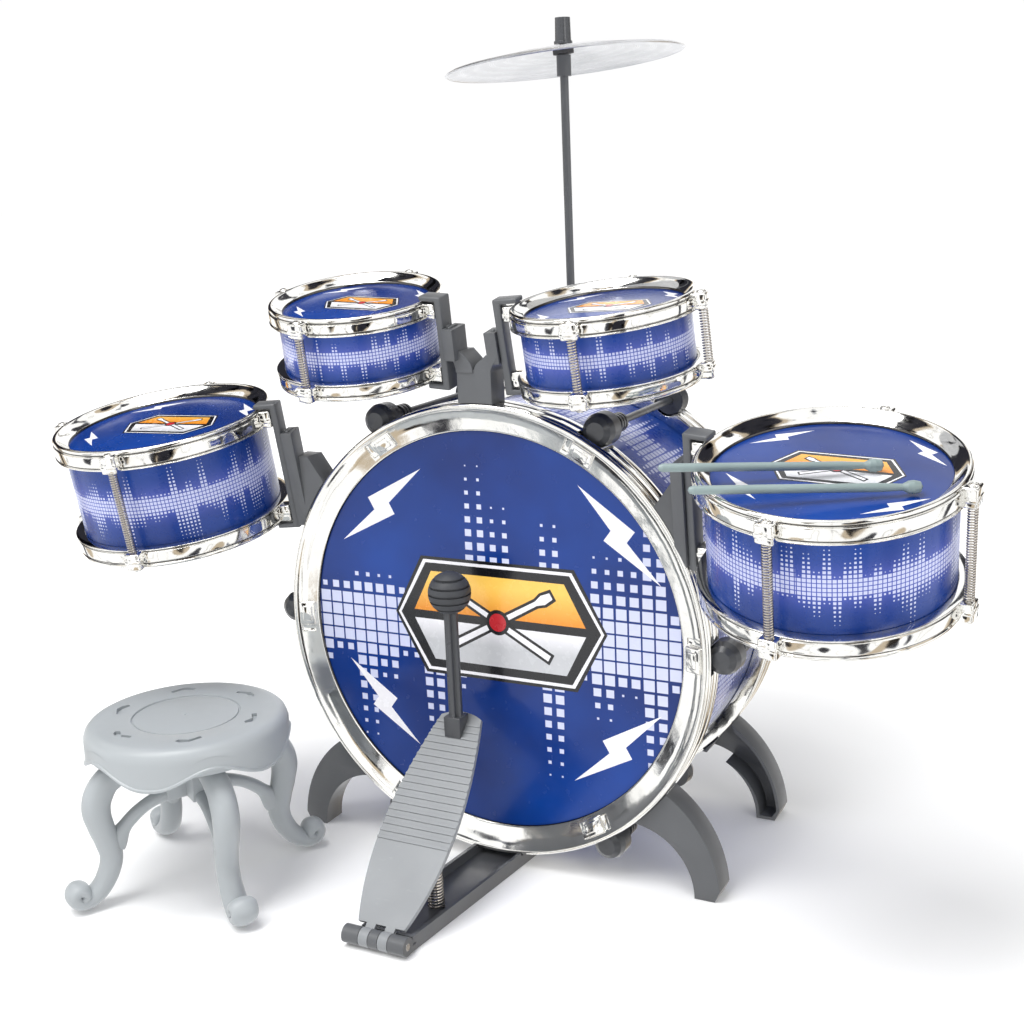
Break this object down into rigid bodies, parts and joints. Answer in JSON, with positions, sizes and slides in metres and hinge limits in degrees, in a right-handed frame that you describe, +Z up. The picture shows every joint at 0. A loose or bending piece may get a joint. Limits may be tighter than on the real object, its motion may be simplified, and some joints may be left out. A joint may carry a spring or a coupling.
{
  "type": "toy acoustic drum kit",
  "caption": "Child's drum kit: bass drum on legs with kick pedal, toms on arms, a cymbal on a rod, sticks and a stool.",
  "frame": {"origin": "on the floor below the middle of the bass drum", "axes": "+Z up, -Y towards the player and the pedal, +X to the player's right as seen from the pedal's side"},
  "size_m": [0.6562, 0.4244, 0.5787],
  "materials": {
    "shell_print": "gloss, printed with a pale equaliser band",
    "head_print": "gloss film, printed with pale squares and white bolts",
    "rear_film": "gloss film",
    "hoop_chrome": "bright vacuum plating on plastic",
    "dark_plastic": "satin moulded plastic",
    "spring_steel": "bright coiled wire",
    "pin_steel": "plain steel",
    "rod_plastic": "satin dark grey",
    "felt": "felt",
    "cymbal_silver": "silver-grey, semi-gloss",
    "grey_plastic": "satin moulded plastic",
    "beater_rubber": "matt",
    "stick_plastic": "satin moulded plastic",
    "stool_plastic": "semi-gloss moulded plastic"
  },
  "bodies": {
    "kit": {"bass_shell": "shell_print", "bass_front_hoop": "hoop_chrome", "bass_rear_hoop": "hoop_chrome", "bass_batter_head": "head_print", "bass_rear_head": "rear_film", "rear_caps": "dark_plastic", "leg_front_left": "dark_plastic", "leg_front_right": "dark_plastic", "leg_rear_left": "dark_plastic", "leg_rear_right": "dark_plastic", "upper_arm": "dark_plastic", "lower_arm_left": "dark_plastic", "lower_arm_right": "dark_plastic", "cymbal_socket": "dark_plastic", "cymbal_rod": "rod_plastic", "pedal_base": "dark_plastic", "pedal_pin": "pin_steel", "pedal_spring": "spring_steel"},
    "tension_bolt_1": {"tension_bolt_1": "dark_plastic"},
    "tension_bolt_2": {"tension_bolt_2": "dark_plastic"},
    "tension_bolt_3": {"tension_bolt_3": "dark_plastic"},
    "tension_bolt_4": {"tension_bolt_4": "dark_plastic"},
    "tension_bolt_5": {"tension_bolt_5": "dark_plastic"},
    "tension_bolt_6": {"tension_bolt_6": "dark_plastic"},
    "tom_big_left": {"tom_big_left_shell": "shell_print", "tom_big_left_head": "head_print", "tom_big_left_top_hoop": "hoop_chrome", "tom_big_left_bottom_hoop": "hoop_chrome", "tom_big_left_springs": "spring_steel", "tom_big_left_bracket": "dark_plastic"},
    "tom_big_right": {"tom_big_right_shell": "shell_print", "tom_big_right_head": "head_print", "tom_big_right_top_hoop": "hoop_chrome", "tom_big_right_bottom_hoop": "hoop_chrome", "tom_big_right_springs": "spring_steel", "tom_big_right_bracket": "dark_plastic"},
    "tom_small_left": {"tom_small_left_shell": "shell_print", "tom_small_left_head": "head_print", "tom_small_left_top_hoop": "hoop_chrome", "tom_small_left_bottom_hoop": "hoop_chrome", "tom_small_left_springs": "spring_steel", "tom_small_left_bracket": "dark_plastic"},
    "tom_small_right": {"tom_small_right_shell": "shell_print", "tom_small_right_head": "head_print", "tom_small_right_top_hoop": "hoop_chrome", "tom_small_right_bottom_hoop": "hoop_chrome", "tom_small_right_springs": "spring_steel", "tom_small_right_bracket": "dark_plastic"},
    "cymbal_rocker": {"cymbal_washer": "felt"},
    "cymbal": {"cymbal_plate": "cymbal_silver"},
    "cymbal_nut": {"cymbal_nut": "dark_plastic"},
    "pedal": {"pedal_footplate": "grey_plastic", "beater_shaft": "dark_plastic", "beater_ball": "beater_rubber"},
    "drumstick_1": {"drumstick_1": "stick_plastic"},
    "drumstick_2": {"drumstick_2": "stick_plastic"},
    "stool": {"stool_seat": "stool_plastic", "stool_frame_lower": "stool_plastic", "stool_frame_upper": "stool_plastic"}
  },
  "joints": [
    {"name": "bolt_1_turn", "type": "hinge", "parent": "kit", "child": "tension_bolt_1", "pos_m": [0.1656, -0.0724, 0.167], "axis": [0, -1, 0], "continuous": true},
    {"name": "bolt_2_turn", "type": "hinge", "parent": "kit", "child": "tension_bolt_2", "pos_m": [0.0828, -0.0724, 0.31041], "axis": [0, -1, 0], "continuous": true},
    {"name": "bolt_3_turn", "type": "hinge", "parent": "kit", "child": "tension_bolt_3", "pos_m": [-0.0828, -0.0724, 0.31041], "axis": [0, -1, 0], "continuous": true},
    {"name": "bolt_4_turn", "type": "hinge", "parent": "kit", "child": "tension_bolt_4", "pos_m": [-0.1656, -0.0724, 0.167], "axis": [0, -1, 0], "continuous": true},
    {"name": "bolt_5_turn", "type": "hinge", "parent": "kit", "child": "tension_bolt_5", "pos_m": [-0.0828, -0.0724, 0.02359], "axis": [0, -1, 0], "continuous": true},
    {"name": "bolt_6_turn", "type": "hinge", "parent": "kit", "child": "tension_bolt_6", "pos_m": [0.0828, -0.0724, 0.02359], "axis": [0, -1, 0], "continuous": true},
    {"name": "tom_big_left_lift", "type": "slide", "parent": "kit", "child": "tom_big_left", "axis": [-0.0297, -0.1633, 0.9861], "range_m": [0, 0.03]},
    {"name": "tom_big_right_lift", "type": "slide", "parent": "kit", "child": "tom_big_right", "axis": [0.0454, -0.2284, 0.9725], "range_m": [0, 0.03]},
    {"name": "tom_small_left_lift", "type": "slide", "parent": "kit", "child": "tom_small_left", "axis": [0.0384, -0.1874, 0.9815], "range_m": [0, 0.022]},
    {"name": "tom_small_right_lift", "type": "slide", "parent": "kit", "child": "tom_small_right", "axis": [-0.0489, -0.1374, 0.9893], "range_m": [0, 0.022]},
    {"name": "cymbal_rock", "type": "hinge", "parent": "kit", "child": "cymbal_rocker", "pos_m": [0, 0.074, 0.5541], "axis": [1, 0, 0], "range_deg": [-3, 3], "stiffness_Nm_per_rad": 0.05},
    {"name": "cymbal_spin", "type": "hinge", "parent": "cymbal_rocker", "child": "cymbal", "pos_m": [0, 0.074, 0.5541], "axis": [-0.0872, 0, 0.9962], "continuous": true},
    {"name": "cymbal_nut_turn", "type": "hinge", "parent": "kit", "child": "cymbal_nut", "pos_m": [0, 0.074, 0.5591], "axis": [0, 0, 1], "continuous": true},
    {"name": "pedal_press", "type": "hinge", "parent": "kit", "child": "pedal", "pos_m": [-0.013, -0.215, 0.007], "axis": [-1, 0, 0], "range_deg": [0, 4.6], "stiffness_Nm_per_rad": 1, "springref_deg": -6.88, "deforming": ["pedal_spring"]},
    {"name": "drumstick_1_lift", "type": "slide", "parent": "tom_big_right", "child": "drumstick_1", "axis": [0.0454, -0.2284, 0.9725], "range_m": [0, 0.06]},
    {"name": "drumstick_2_lift", "type": "slide", "parent": "tom_big_right", "child": "drumstick_2", "axis": [0.0454, -0.2284, 0.9725], "range_m": [0, 0.06]},
    {"name": "stool_slide", "type": "slide", "parent": "kit", "child": "stool", "axis": [-1, 0, 0], "range_m": [0, 0.15]}
  ]
}
